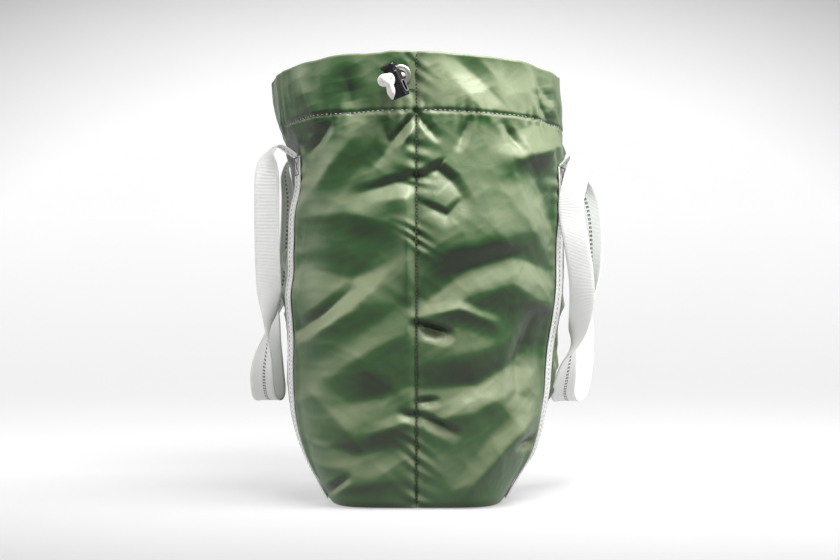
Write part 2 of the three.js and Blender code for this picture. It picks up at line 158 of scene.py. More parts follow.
def value_noise(u, v, seed):
    """Smooth noise from -1 to 1 over the plane."""
    if seed not in NOISE_TABLES:
        NOISE_TABLES[seed] = np.random.default_rng(seed).uniform(-1, 1, (256, 256))
    table = NOISE_TABLES[seed]
    iu, iv = np.floor(u).astype(int), np.floor(v).astype(int)
    fu, fv = u - iu, v - iv
    fu, fv = fu * fu * (3 - 2 * fu), fv * fv * (3 - 2 * fv)

    def at(du, dv):
        return table[(iu + du) % 256, (iv + dv) % 256]
    low = at(0, 0) * (1 - fu) + at(1, 0) * fu
    high = at(0, 1) * (1 - fu) + at(1, 1) * fu
    return low * (1 - fv) + high * fv


def crumple(u, v, seed, layers=3):
    """Noise with sharp crests, like creased taffeta, about 0 with a size near 1."""
    total, size = 0, 1.0
    for i in range(layers):
        angle = 0.7 + 1.9 * i
        a = u * math.cos(angle) - v * math.sin(angle)
        b = u * math.sin(angle) + v * math.cos(angle)
        wob = 0.6 * value_noise(a * 0.7 + 11, b * 0.7, seed + 40 + i)
        total = total + size * (0.5 - np.abs(value_noise(a * 0.62 + wob, b * 1.25, seed + i)) * 1.6)
        u, v, size = u * 1.9, v * 1.9, size * 0.48
    return total


# ---- named folds of the near face ---------------------------------------------------------
# Each fold: points (x, z) in millimetres seen square from the front, height of its crest
# (below 0 for a valley) and how far its flanks reach above and below the line.
FOLDS = {
    "upper_m_left": ([(-52, 300), (-20, 310), (1, 314)], -4, 8, 24),
    "upper_m_right": ([(1, 314), (20, 322), (34, 311), (43, 296)], -6.5, 8, 30),
    "second_chevron": ([(3, 291), (29, 279), (39, 290)], -3.5, 5, 14),
    "seam_bump": ([(-38, 292), (-4, 296)], 2.5, 12, 14),
    "green_band": ([(-106, 276), (-68, 282), (-30, 272)], 3, 26, 18),
    "left_hollow": ([(-108, 232), (-63, 218), (-12, 240)], -7.5, 52, 34),
    "seam_strip": ([(-10, 292), (-9, 205)], 6, 12, 12),
    "rising_band": ([(-108, 158), (-60, 188), (-24, 226)], 4.5, 20, 26),
    "shoulder_left": ([(-60, 352), (-88, 315), (-114, 276)], 5, 22, 20),
    "neck_left": ([(-20, 352), (-40, 325)], -4, 14, 18),
    "right_plateau": ([(8, 244), (56, 250), (112, 268)], 11, 100, 44),
    "bright_shoulder": ([(90, 330), (136, 345)], 8, 26, 22),
    "side_dip": ([(108, 326), (122, 290), (134, 246)], -6, 18, 18),
    "long_hollow": ([(10, 198), (48, 228), (89, 240), (130, 226)], -4.5, 24, 18),
    "long_ridge": ([(26, 188), (54, 203), (88, 213), (124, 190)], 7.5, 26, 44),
    "seam_cut_right": ([(2, 175), (28, 167)], -13, 6, 13),
    "seam_cut_ridge": ([(6, 184), (40, 190), (70, 178)], 4.0, 8, 16),
    "grey_plateau": ([(16, 140), (74, 156)], 4.5, 34, 26),
    "low_hollow_right": ([(14, 116), (56, 118), (106, 148)], -4.5, 22, 18),
    "edge_hollow_right": ([(110, 180), (96, 112)], -9, 16, 18),
    "low_ridge_right": ([(18, 84), (54, 92), (98, 116)], 5, 18, 44),
    "notch_a": ([(2, 102), (18, 103)], -5, 5, 7),
    "notch_b": ([(2, 90), (36, 73)], -6, 6, 10),
    "notch_c": ([(-13, 91), (1, 86)], -5, 6, 7),
    "left_cut": ([(-66, 206), (-88, 186), (-118, 166)], -5, 9, 14),
    "left_lobe": ([(-80, 126), (-44, 150), (-2, 172)], 4, 22, 36),
    "low_hollow_left": ([(-76, 100), (-35, 106), (-1, 120)], -3.5, 26, 22),
    "low_step_left": ([(-40, 72), (-1, 86)], 3.0, 10, 16),
    "low_ridge_left": ([(-96, 108), (-70, 80), (-50, 54)], 3.5, 16, 20),
    "foot_hollow_left": ([(-96, 66), (-58, 52), (-12, 58)], -3.5, 18, 18),
    "foot_light_left": ([(-84, 22), (-4, 30)], 2.5, 22, 18),
    "foot_crease_left": ([(-84, 17), (-66, 29)], -5, 6, 6),
    "foot_ridge_right": ([(119, 101), (79, 56), (48, 14)], 7, 15, 18),
    "foot_crease_right": ([(110, 68), (96, 60)], -5, 6, 7),
    "hem_valley_right": ([(37, 431), (60, 412), (89, 379)], -3.5, 14, 18),
    "hem_ridge_right": ([(30, 417), (60, 381), (79, 360)], 2.2, 14, 14),
    "hem_crease_right": ([(118, 400), (131, 365)], -6, 7, 9),
    "hem_patch_right": ([(124, 410), (132, 392)], -5, 10, 10),
    "hem_ridge_left": ([(-108, 416), (-92, 370)], 6, 12, 14),
    "hem_hollow_left": ([(-65, 410), (-59, 378)], -7, 16, 16),
    "seam_fan_left": ([(-2, 374), (-22, 350)], -5, 5, 8),
    "seam_fan_ridge": ([(-1, 362), (-12, 346)], 3, 5, 6),
    "seam_fan_right": ([(2, 372), (18, 352)], -4, 8, 5),
    "neck_fan_a": ([(48, 368), (40, 345)], -4, 6, 8),
    "neck_fan_b": ([(84, 366), (98, 340)], -4, 6, 8),
    "neck_fan_c": ([(-84, 364), (-100, 338)], -4, 6, 8),
    "neck_fan_d": ([(-30, 366), (-26, 344)], -3, 6, 8),
}


def fold(x, z, points, crest, above, below):
    """Height of one fold at (x, z): a sharp crest that falls off to both sides and at its ends."""
    points = np.array(points, float)
    if points[0, 0] > points[-1, 0]:
        points = points[::-1]
    spans = np.hypot(*np.diff(points, axis=0).T)
    starts = np.concatenate([[0], np.cumsum(spans)])
    best = np.full(x.shape, 1e9)
    signed, along = np.zeros(x.shape), np.zeros(x.shape)
    for (ax, az), (bx, bz), span, start in zip(points, points[1:], spans, starts):
        dx, dz = (bx - ax) / span, (bz - az) / span
        t = np.clip((x - ax) * dx + (z - az) * dz, 0, span)
        ox, oz = x - ax - t * dx, z - az - t * dz
        dist = np.hypot(ox, oz)
        nearer = dist < best
        best = np.where(nearer, dist, best)
        signed = np.where(nearer, dx * oz - dz * ox, signed)
        along = np.where(nearer, start + t, along)
    lean = np.clip(0.5 + 0.5 * signed / np.maximum(best, 0.5), 0, 1)
    reach = below + (above - below) * lean
    round_off = 0.3 + 0.11 * min(above, below)
    soft = np.sqrt(best**2 + round_off**2) - round_off
    flank = np.clip(1 - np.clip(soft, 0, None) / reach, 0, None) ** 1.55
    ends = np.clip(np.minimum(along, starts[-1] - along) / (0.35 * starts[-1]), 0, 1)
    return crest * flank * (0.45 + 0.55 * ends)


def near_folds(x, z):
    total = np.zeros(x.shape)
    for points, crest, above, below in FOLDS.values():
        total += fold(x, z, points, crest, above, below)
    return total


def scattered_folds(u, z, seed, count, width, low, high):
    """Creases at chance places, for the faces that the front view doesn't show."""
    rng = np.random.default_rng(seed)
    total = np.zeros(u.shape)
    for i in range(count):
        cu, cz = rng.uniform(-width / 2, width / 2), rng.uniform(low, high)
        angle = rng.normal(0.0, 0.75)
        half = rng.uniform(18, 52)
        mid = rng.uniform(-9, 9)
        du, dz = half * math.cos(angle), half * math.sin(angle)
        points = [(cu - du, cz - dz), (cu - dz * mid / half, cz + du * mid / half), (cu + du, cz + dz)]
        sign = 1 if i % 2 else -1
        total += fold(u, z, points, sign * rng.uniform(3.5, 7.5), rng.uniform(9, 20), rng.uniform(14, 28))
    return total


def smooth_step(v, low, high):
    t = np.clip((v - low) / (high - low), 0, 1)
    return t * t * (3 - 2 * t)


def dent(side, x, y, z):
    """How far the real cloth stands proud of the plain skin, in millimetres."""
    seen = CAMERA_AWAY / MM
    front_x = x * (seen - 162) / (seen + y)
    front_z = CAMERA_HEIGHT / MM + (z - CAMERA_HEIGHT / MM) * (seen - 162) / (seen + y)
    near = 1 - smooth_step(y, -112, -78)
    far = smooth_step(y, 78, 112)
    flank = (1 - near) * (1 - far)
    body = smooth_step(z, 0, 26)
    total = near * near_folds(front_x, front_z)
    total += far * (0.85 * near_folds(-x * 0.97, z + 6) + 0.5 * scattered_folds(x, z, 5, 16, 240, 40, 360))
    total += flank * scattered_folds(y, z, 20 + side, 38, 220, 40, 365)
    total += 1.1 * crumple(x * 0.017 + y * 0.019 + 5, z * 0.02, 3, 2)
    total += 0.25 * crumple((x + y) * 0.055, z * 0.06, 9, 2)
    return total * (0.15 + 0.85 * body)


def seam_gathers(distance, along, pitch, seed):
    """Small puckers that fan out from a line of stitches."""
    wander = 0.6 * value_noise(along / 27, distance * 0 + seed, seed)
    wave = np.cos(2 * np.pi * (along / pitch + wander))
    strength = 0.15 + 0.95 * smooth_step(value_noise(along / 26, distance * 0, seed + 1), -0.35, 0.75)
    return strength * wave * np.exp(-np.abs(distance) / 7.0)


def run_centre_dent(side, end, z):
    """The sewn webbing holds the cloth: under it the skin only follows the large waves."""
    y = np.full(z.shape, end * RUN_Y)
    x = skin_at_y(side, y, z)[0]
    raw = dent(side, x, y, z)
    kernel = np.hanning(9)
    padded = np.pad(raw, 4, mode="edge")
    return 0.45 * np.convolve(padded, kernel / kernel.sum(), mode="valid")


RUN_GRID = np.arange(0.0, 436.0, 4.0)
RUN_DENT = {(s, e): run_centre_dent(s, e, RUN_GRID) for s in (-1, 1) for e in (-1, 1)}


def surface(side, turn, z):
    """Points of the dressed cloth and its outward normals, millimetres."""
    x, y, nx, ny = skin(side, turn, z)
    out = dent(side, x, y, z)

    hem = smooth_step(z, STITCH_Z - 6, STITCH_Z + 6)
    around = side * turn * HALF_ROUND
    out = out * (1 - 0.25 * hem)
    out += hem * (2.0 * value_noise(around / 31 + 3, z / 60, 61) + 1.0 * value_noise(around / 12, z / 45, 62))
    near_hem = (1 - smooth_step(y, -125, -90)) * smooth_step(z, STITCH_Z, RIM_Z)
    out += near_hem * np.where(x > 0, -8.0, -0.5) * smooth_step(np.abs(x), 0, 45)
    from_stitch = z - STITCH_Z
    out -= 1.0 * np.exp(-(from_stitch / 2.2) ** 2)
    out += 1.5 * seam_gathers(from_stitch, around, 10.5, 71) * (np.abs(from_stitch) > 0.2)

    to_seam = np.abs(x)
    seam_side = np.maximum(1 - smooth_step(to_seam, 8, 40), 0)
    slant = 0.6 * to_seam * np.where(x > 0, 1, -1.1) * (1 + 0.8 * value_noise(z / 50, z * 0, 83))
    out += 1.5 * seam_gathers(to_seam * 0.75, z + slant + 300 * (y > 0), 17.0, 81) * seam_side * (1 - 0.6 * hem)
    out -= 2.6 * np.exp(-(to_seam / 4.5) ** 2)
    out -= 3.2 * np.exp(-(to_seam / 0.8) ** 2) * (1 - 0.7 * hem)

    for end in (-1, 1):
        to_run = y - end * RUN_Y
        low = 1 - smooth_step(z, RUN_TOP[side], RUN_TOP[side] + 14)
        held = np.interp(z, RUN_GRID, RUN_DENT[(side, end)])
        grip = 1 - smooth_step(np.abs(to_run), 13.5, 27.0)
        grip = grip * (1 - smooth_step(z, RUN_TOP[side] + 3, RUN_TOP[side] + 22))
        out = out * (1 - grip) + held * grip
        edge = np.abs(to_run) - 13.0
        puckers = seam_gathers(edge, z + 50 * end, 13.0, 91 + end)
        out += low * 1.3 * puckers * (edge > -1.5) * smooth_step(z, 10, 30)
        out += low * 2.4 * np.exp(-((edge - 5) / 4.5) ** 2) * smooth_step(z, 10, 40)

    foot = 1 - smooth_step(z, 0, 7)
    out = out * (1 - 0.8 * foot) - 1.2 * foot
    return x + nx * out, y + ny * out, nx, ny


# ---- mesh helpers -------------------------------------------------------------------------
def mesh_object(name, verts_mm, faces, smooth=True):
    mesh = bpy.data.meshes.new(name)
    mesh.from_pydata((np.asarray(verts_mm) * MM).tolist(), [], [list(map(int, f)) for f in faces])
    mesh.update()
    if smooth:
        mesh.shade_smooth()
    return link(bpy.data.objects.new(name, mesh))


def grid_faces(rows, columns, closed=False):
    across = columns if closed else columns - 1
    r, c = np.meshgrid(np.arange(rows - 1), np.arange(across), indexing="ij")
    d = (c + 1) % columns
    corners = r * columns + c, r * columns + d, (r + 1) * columns + d, (r + 1) * columns + c
    return np.stack(corners, -1).reshape(-1, 4)


def set_uv(obj, per_vertex):
    """A UV layer holding lengths in metres, which the procedural materials read."""
    layer = obj.data.uv_layers.new(name="cloth")
    index = np.empty(len(obj.data.loops), dtype=np.int32)
    obj.data.loops.foreach_get("vertex_index", index)
    layer.data.foreach_set("uv", np.asarray(per_vertex, dtype=np.float32)[index].ravel())


def finish_piece(obj, material, body="bag", replaces=()):
    obj.data.materials.clear()
    obj.data.materials.append(material)
    if body:
        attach(obj, body)
    if replaces:
        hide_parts(*replaces)
    return obj


# ---- materials ----------------------------------------------------------------------------
RIB_PITCH, YARN_PITCH, DASH_PITCH, BRAID_PITCH = 0.0014, 0.0011, 0.0046, 0.0016


class Nodes:
    """A small builder for procedural materials."""

    def __init__(self, name):
        self.material = bpy.data.materials.new(name)
        self.material.use_nodes = True
        self.tree = self.material.node_tree
        self.tree.nodes.clear()
        self.output = self.add("ShaderNodeOutputMaterial")

    def add(self, kind, **settings):
        node = self.tree.nodes.new(kind)
        for key, value in settings.items():
            if hasattr(node, key):
                setattr(node, key, value)
            else:
                node.inputs[key.replace("_", " ")].default_value = value
        return node

    def link(self, source, target):
        self.tree.links.new(source, target)

    def place(self):
        return self.add("ShaderNodeTexCoord").outputs["Object"]

    def axes(self, vector):
        node = self.add("ShaderNodeSeparateXYZ")
        self.link(vector, node.inputs[0])
        return [node.outputs[axis] for axis in "XYZ"]

    def noise(self, **settings):
        node = self.add("ShaderNodeTexNoise", **settings)
        self.link(self.place(), node.inputs["Vector"])
        return node.outputs["Fac"]

    def bump(self, height, strength, distance, under=None):
        node = self.add("ShaderNodeBump", Strength=strength, Distance=distance)
        self.link(height, node.inputs["Height"])
        if under:
            self.link(under, node.inputs["Normal"])
        return node.outputs[0]

    def principled(self, colour, normal, **settings):
        node = self.add("ShaderNodeBsdfPrincipled", **settings)
        self.link(colour, node.inputs["Base Color"])
        self.link(normal, node.inputs["Normal"])
        return node

    def ramp(self, factor, stops):
        node = self.add("ShaderNodeValToRGB")
        while len(node.color_ramp.elements) < len(stops):
            node.color_ramp.elements.new(0.5)
        for element, (place, colour) in zip(node.color_ramp.elements, stops):
            element.position = place
            element.color = (*colour, 1)
        self.link(factor, node.inputs["Fac"])
        return node.outputs["Color"]

    def maths(self, operation, a, b=None):
        node = self.add("ShaderNodeMath", operation=operation)
        for socket, value in zip(node.inputs, (a, b)):
            if value is None:
                continue
            if isinstance(value, (int, float)):
                socket.default_value = value
            else:
                self.link(value, socket)
        return node.outputs[0]

    def mix(self, factor, a, b, blend="MIX"):
        node = self.add("ShaderNodeMix", data_type="RGBA", blend_type=blend)
        for socket, value in zip((node.inputs[0], node.inputs[6], node.inputs[7]), (factor, a, b)):
            if hasattr(value, "links"):
                self.link(value, socket)
            elif isinstance(value, (int, float)):
                socket.default_value = value
            else:
                socket.default_value = (*value, 1)
        return node.outputs[2]

    def surface(self, shader):
        self.link(shader, self.output.inputs["Surface"])
        return self.material


def nylon(name, deep, green, pale, roughness, sheen):
    """Shot nylon taffeta of green and greige threads; the colour turns with the way the cloth faces, partly the
    shot two-tone and partly painted light: cloth facing up is painted paler and cloth facing down darker, as the
    light from above falls.
    """
    n = Nodes(name)
    facing = n.axes(n.add("ShaderNodeNewGeometry").outputs["Normal"])
    patches = n.noise(Scale=9.0, Detail=2.0, Roughness=0.5)
    # Painted light: upward-facing cloth is painted paler and downward-facing cloth darker, as the light from above
    # falls; cloth facing the sides is a little paler.
    painted_light_from_above = n.maths("MULTIPLY", facing[2], 1.5)
    shot_tone_and_painted_light = n.maths("ADD", painted_light_from_above, n.maths("MULTIPLY", n.maths("ABSOLUTE", facing[0]), 0.22))
    shift = n.maths("MULTIPLY", n.maths("SUBTRACT", patches, 0.5), 0.7)
    x, _, z = n.axes(n.place())
    # Painted light: the cloth is painted paler in its lowest 10 cm, lifting the painted shade on the
    # downward-facing foot.
    foot = n.maths("MULTIPLY", n.maths("MAXIMUM", n.maths("SUBTRACT", 0.10, z), 0.0), 4.5)
    # Painted light: the casing above the stitches is painted paler where it crosses the middle of the bag, a
    # painted pool of light on the hem.
    beside = n.maths("DIVIDE", n.maths("ABSOLUTE", n.maths("SUBTRACT", x, 0.025)), 0.10)
    middle = n.maths("MAXIMUM", n.maths("SUBTRACT", 1.0, beside), 0.0)
    up = n.maths("DIVIDE", n.maths("SUBTRACT", z, 0.372), 0.012)
    hem = n.maths("MINIMUM", n.maths("MAXIMUM", up, 0.0), 1.0)
    painted_hem_light = n.maths("MULTIPLY", n.maths("MULTIPLY", middle, hem), 0.27)
    factor = n.maths("ADD", n.maths("ADD", shot_tone_and_painted_light, shift), n.maths("ADD", n.maths("ADD", foot, painted_hem_light), 0.45))
    colour = n.ramp(factor, [(0.0, deep), (0.42, green), (1.0, pale)])
    weave = n.bump(n.noise(Scale=900.0, Detail=1.0), 0.10, 0.0004)
    crinkle = n.bump(n.noise(Scale=60.0, Detail=4.0, Roughness=0.55, Distortion=0.6), 0.22, 0.003, weave)
    shader = n.principled(colour, crinkle, Roughness=roughness, Specular_IOR_Level=0.6,
                          Specular_Tint=(0.92, 0.95, 0.80, 1), Sheen_Weight=sheen, Sheen_Roughness=0.45,
                          Sheen_Tint=(0.85, 0.83, 0.68, 1))
    return n.surface(shader.outputs[0])


def webbing_material(name, tracer):
    """White ribbed webbing; the woven tracer is a row of dark dashes on its outer face."""
    n = Nodes(name)
    across, along, _ = n.axes(n.add("ShaderNodeUVMap", uv_map="cloth").outputs[0])
    rib = n.maths("SINE", n.maths("MULTIPLY", along, 2 * math.pi / RIB_PITCH))
    yarn = n.maths("SINE", n.maths("MULTIPLY", across, 2 * math.pi / YARN_PITCH))
    bump = n.bump(n.maths("ADD", rib, n.maths("MULTIPLY", yarn, 0.35)), 0.5, 0.0003)
    soil = n.noise(Scale=40.0, Detail=3.0)
    white = n.ramp(soil, [(0.2, (0.82, 0.82, 0.805)), (0.8, (0.88, 0.88, 0.87))])
    # Painted shade: the rib valleys are painted slightly darker than the crests.
    shade = n.mix(n.maths("MULTIPLY", n.maths("ADD", rib, 1.0), 0.5), (0.93, 0.93, 0.93), (1.0, 1.0, 1.0))
    colour = n.mix(1.0, white, shade, "MULTIPLY")
    if tracer:
        dash = n.maths("LESS_THAN", n.maths("FRACT", n.maths("DIVIDE", along, DASH_PITCH)), 0.56)
        left = n.maths("GREATER_THAN", across, 0.0132)
        right = n.maths("LESS_THAN", across, 0.0160)
        gap = n.maths("LESS_THAN", n.maths("ABSOLUTE", n.maths("SUBTRACT", across, 0.0146)), 0.0002)
        mark = n.maths("MULTIPLY", n.maths("MULTIPLY", left, right), dash)
        mark = n.maths("MULTIPLY", mark, n.maths("SUBTRACT", 1.0, gap))
        colour = n.mix(mark, colour, (0.035, 0.036, 0.04))
    shader = n.principled(colour, bump, Roughness=0.72, Specular_IOR_Level=0.3, Sheen_Weight=0.15)
    return n.surface(shader.outputs[0])


def mottled(name, dark, light, roughness, scale, bump_strength, metallic=0.0, specular=0.5):
    """A plain material with gentle variation in its colour, roughness and surface."""
    n = Nodes(name)
    noise = n.noise(Scale=scale, Detail=3.0)
    shader = n.principled(n.ramp(noise, [(0.3, dark), (0.7, light)]), n.bump(noise, bump_strength, 0.0003),
                          Metallic=metallic, Specular_IOR_Level=specular)
    rough = n.maths("ADD", n.maths("MULTIPLY", noise, 0.12), roughness - 0.06)
    n.link(rough, shader.inputs["Roughness"])
    return n.surface(shader.outputs[0])


def braid_material(name):
    """White braided cord: two families of yarns that cross on the slant."""
    n = Nodes(name)
    around, along, _ = n.axes(n.add("ShaderNodeUVMap", uv_map="cloth").outputs[0])
    a, b = (n.maths("SINE", n.maths("MULTIPLY", n.maths(way, around, along), 2 * math.pi / BRAID_PITCH))
            for way in ("ADD", "SUBTRACT"))
    weave = n.maths("MULTIPLY", a, b)
    # Painted shade: the hollows of the weave are painted darker than the crowns of the crossing yarns.
    factor = n.maths("ADD", n.maths("MULTIPLY", weave, 0.5), 0.5)
    colour = n.ramp(factor, [(0.0, (0.80, 0.78, 0.72)), (0.8, (0.92, 0.91, 0.87))])
    shader = n.principled(colour, n.bump(weave, 0.5, 0.0003), Roughness=0.8, Sheen_Weight=0.2)
    return n.surface(shader.outputs[0])


SHELL = nylon("shot_nylon", (0.008, 0.018, 0.008), (0.030, 0.088, 0.026), (0.195, 0.235, 0.135),
              roughness=0.40, sheen=0.06)
LINING = nylon("nylon_back", (0.045, 0.065, 0.035), (0.080, 0.130, 0.060), (0.16, 0.19, 0.11),
               roughness=0.62, sheen=0.15)
WEBBING = webbing_material("white_webbing", True)
WEBBING_PLAIN = webbing_material("white_webbing_back", False)
TACK_THREAD = mottled("grey_thread", (0.05, 0.052, 0.055), (0.11, 0.11, 0.115), 0.6, 900, 0.4)
DARK_THREAD = mottled("dark_thread", (0.010, 0.011, 0.013), (0.03, 0.03, 0.035), 0.6, 900, 0.4)
PALE_THREAD = mottled("pale_thread", (0.46, 0.46, 0.44), (0.60, 0.60, 0.58), 0.6, 900, 0.4)
NICKEL = mottled("nickel", (0.34, 0.33, 0.30), (0.46, 0.45, 0.41), 0.38, 200, 0.05, metallic=1.0)
PLASTIC = mottled("black_plastic", (0.006, 0.006, 0.007), (0.012, 0.012, 0.014), 0.22, 350, 0.04,
                  specular=0.32)
# Painted highlight: this pale grey plastic, used on the slot rim, stands for the highlight on the edge of the
# lock's window.
EDGE_HIGHLIGHT_PLASTIC = mottled("plastic_painted_edge_highlight", (0.20, 0.20, 0.21), (0.30, 0.30, 0.31), 0.25, 300, 0.05)
BRAID = braid_material("white_braid")

# ---- cloth panels ---------------------------------------------------------------------------
COLUMNS = 300
ROWS_BELOW, ROWS_HEM = 215, 52
RIM_ROLL = 1.6


def panel_turns(side, z):
    """Turns from the near to the far seam, closest together on the near face."""
    even = np.linspace(0, 1, COLUMNS)
    turn = 0.52 * even + 0.48 * even**1.7
    trim = 0.04 / (np.pi * outline(z, 3))
    return trim + turn * (1 - 2 * trim)


def rim_wave(side, turn):
    """The soft rim lifts and drops a little, and peaks where the casing folds at its corners."""
    around = side * turn * HALF_ROUND
    wave = 1.6 * value_noise(around / 38, around * 0 + 2, 31) + 0.7 * value_noise(around / 13, around * 0, 32)
    peak, place, reach = (4.0, 0.36, 0.035) if side > 0 else (3.0, 0.40, 0.04)
    return wave + peak * np.exp(-((turn - place) / reach) ** 2) - 1.5


def sheet(side, level, inset=0.0):
    """Rows of cloth at these heights, set in from the outer face, with the rim's wave and droop."""
    turn = panel_turns(side, level)
    x, y, nx, ny = surface(side, turn, level)
    lift = smooth_step(level, STITCH_Z + 8, RIM_Z) * rim_wave(side, turn) - droop(turn, level)
    return np.stack([x - nx * inset, y - ny * inset, level + lift], -1), np.stack([nx, ny, nx * 0], -1)


def panel(side):
    """One side of the bag: up the outside, over the rolled rim, and down the facing inside."""
    heights = np.concatenate([
        np.linspace(FOOT_Z, STITCH_Z - 14, ROWS_BELOW - 24, endpoint=False),
        np.linspace(STITCH_Z - 14, STITCH_Z + 16, 24 + 14, endpoint=False),
        np.linspace(STITCH_Z + 16, RIM_Z, ROWS_HEM - 14)])
    outer, normals = sheet(side, np.repeat(heights[:, None], COLUMNS, axis=1))

    angle = np.linspace(0, math.pi, 7)[1:, None, None]
    roll = outer[-1] - normals[-1] * RIM_ROLL * (1 - np.cos(angle)) + UP * RIM_ROLL * np.sin(angle)

    drop = np.linspace(0, 1, 22)[1:, None]
    inset = 3.2 + 9.6 * np.sin(math.pi * drop) - 2.0 * drop
    inner, _ = sheet(side, np.repeat(RIM_Z - drop * (RIM_Z - STITCH_Z), COLUMNS, axis=1), inset)
    rows = np.concatenate([outer, roll, inner])
    name = NAMES[side]
    obj = mesh_object(f"nylon_panel_{name}", rows.reshape(-1, 3), grid_faces(len(rows), COLUMNS)[:, ::side])
    finish_piece(obj, SHELL, replaces=(f"panel_{name}", f"hem_facing_{name}"))


for side in (-1, 1):
    panel(side)


def base_piece():
    """The base panel: flat on the floor, rolled up a little where it meets the side panels."""
    half = 90
    turns = np.concatenate([np.linspace(0, 1, half, endpoint=False), np.linspace(1, 0, half, endpoint=False)])
    sides = np.repeat([1, -1], half)
    edge = np.zeros((len(turns), 2))
    for side in (-1, 1):
        mine = sides == side
        x, y, _, _ = surface(side, turns[mine], np.full(mine.sum(), FOOT_Z))
        edge[mine] = np.stack([x, y], -1)
    profile = ((1.0, 1.7), (0.995, 0.9), (0.985, 0.35), (0.96, 0.05), (0.8, 0.0), (0.5, 0.0), (0.2, 0.0))
    rings = [np.column_stack([edge * shrink, np.full(len(edge), z)]) for shrink, z in profile]
    count = len(turns)
    points = np.array(rings).reshape(-1, 3)
    faces = grid_faces(len(rings), count, closed=True).tolist()
    faces.append([(len(rings) - 1) * count + i for i in range(count)])
    obj = mesh_object("nylon_base", points, faces)
    finish_piece(obj, SHELL, replaces=("base_panel",))


base_piece()

# ---- straps ----------------------------------------------------------------------------------
# The free loops repeat the CAD route: x, y, z and the heading of the width in degrees.
LOOPS = {
    -1: [
        (-126, -95, 344, 90), (-135, -95, 349.5, 94), (-144, -96, 343, 112), (-147, -97, 332, 148),
        (-147, -98, 317, 172), (-147, -98, 296, 180), (-147, -96, 257, 180), (-146, -92, 218, 190),
        (-145, -83, 187, 235), (-149, -70, 158, 288), (-156, -50, 126, 335), (-157, -22, 101, 362),
        (-153, 5, 94, 366), (-151, 30, 102, 360), (-155, 52, 127, 350), (-157, 68, 154, 325),
        (-152, 82, 182, 275), (-146, 90, 213, 240), (-142, 95, 263, 233), (-141, 96, 307, 236),
        (-144, 96, 330, 248), (-143, 95, 343, 264), (-135, 95, 349.5, 270), (-126, 95, 344, 270)],
    1: [
        (150.5, -96, 335, 270), (156, -98, 339.5, 255), (159, -103, 333, 225),
        (156, -109, 318, 192), (151, -112, 298, 180), (151, -112, 280, 180), (155, -112, 257, 180),
        (160, -108, 228, 178), (162, -102, 203, 165), (160, -92, 178, 140), (156, -80, 160, 110),
        (153, -66, 143, 65), (150, -46, 118, 30), (150, -22, 101, 10), (157, 5, 93, 5),
        (169, 30, 102, 0), (176, 52, 125, 0), (182, 68, 149, 35), (188, 80, 172, 62),
        (191, 87, 194, 90), (193, 92, 230, 130), (193, 95, 267, 152), (189, 96, 300, 160),
        (180, 96, 322, 145), (168, 95, 336, 108), (159, 95, 339, 93), (151, 95, 334, 90)],
}

STRAP_STEP = 2.5
FACE_POINTS = 9     # points across each face of the webbing
ROOT_ROWS = 14      # cross-sections of a loop that belong to each root


def smooth_line(stations, spacing):
    """Evenly spaced values along a Catmull-Rom curve through rows of numbers, x y z first."""
    p = np.array(stations, float)
    p = np.vstack([2 * p[0] - p[1], p, 2 * p[-1] - p[-2]])
    fine = []
    for i in range(1, len(p) - 2):
        t = np.linspace(0, 1, 24, endpoint=False)[:, None]
        a, b, c, d = p[i - 1:i + 3]
        fine.append(0.5 * (2 * b + (c - a) * t + (2 * a - 5 * b + 4 * c - d) * t**2
                           + (3 * b - a - 3 * c + d) * t**3))
    fine = np.vstack(fine + [p[-2][None]])
    run = np.concatenate([[0], np.cumsum(np.linalg.norm(np.diff(fine[:, :3], axis=0), axis=1))])
    even = np.linspace(0, run[-1], max(int(run[-1] / spacing), 4))
    return np.stack([np.interp(even, run, column) for column in fine.T], -1), even


def strap_sections(centres, across, travelled, cup=0.0):
    """Cross-sections of a strap: a flat band with rounded selvedges, as closed rings of points."""
    along = np.gradient(centres, axis=0)
    along /= np.linalg.norm(along, axis=1, keepdims=True)
    across = across - along * np.sum(across * along, axis=1, keepdims=True)
    across /= np.linalg.norm(across, axis=1, keepdims=True)
    face = np.cross(along, across)
    half, t = WEB_W / 2, WEB_T / 2
    u = np.concatenate([np.linspace(-half + t, half - t, FACE_POINTS), [half - 0.15],
                        np.linspace(half - t, -half + t, FACE_POINTS), [-half + 0.15]])
    w = np.concatenate([np.full(FACE_POINTS, t), [0], np.full(FACE_POINTS, -t), [0]])
    bow = cup * ((u / half) ** 2 - 0.5)
    rings = centres[:, None] + across[:, None] * u[None, :, None] + face[:, None] * (w + bow)[None, :, None]
    uv = np.stack(np.broadcast_arrays((u + half)[None] * MM, travelled[:, None] * MM), -1)
    return rings, uv


def strap_piece(name, rings, uv):
    """A closed length of webbing: tracer on the outer face, plain elsewhere, and sharp at both cuts."""
    rows, columns = rings.shape[:2]
    last = (rows - 1) * columns
    faces = grid_faces(rows, columns, closed=True).tolist()
    faces += [list(range(columns))[::-1], [last + i for i in range(columns)]]
    obj = mesh_object(name, rings.reshape(-1, 3), faces)
    set_uv(obj, uv.reshape(-1, 2))
    obj.data.materials.append(WEBBING)
    obj.data.materials.append(WEBBING_PLAIN)
    slots = np.ones(len(obj.data.polygons), dtype=np.int32)
    slots[:last].reshape(rows - 1, columns)[:, :FACE_POINTS - 1] = 0
    obj.data.polygons.foreach_set("material_index", slots)
    for edge in obj.data.edges:
        a, b = edge.vertices
        edge.use_edge_sharp = max(a, b) < columns or min(a, b) >= last
    return obj


def run_point(side, end, y, z, out):
    """A point on the sewn webbing's line, standing out from the cloth that it holds."""
    z = np.asarray(z, float)
    x, nx, ny = skin_at_y(side, y, z)
    held = np.interp(z, RUN_GRID, RUN_DENT[(side, end)])
    return np.stack([x + nx * (held + out), y + ny * (held + out), z], -1)


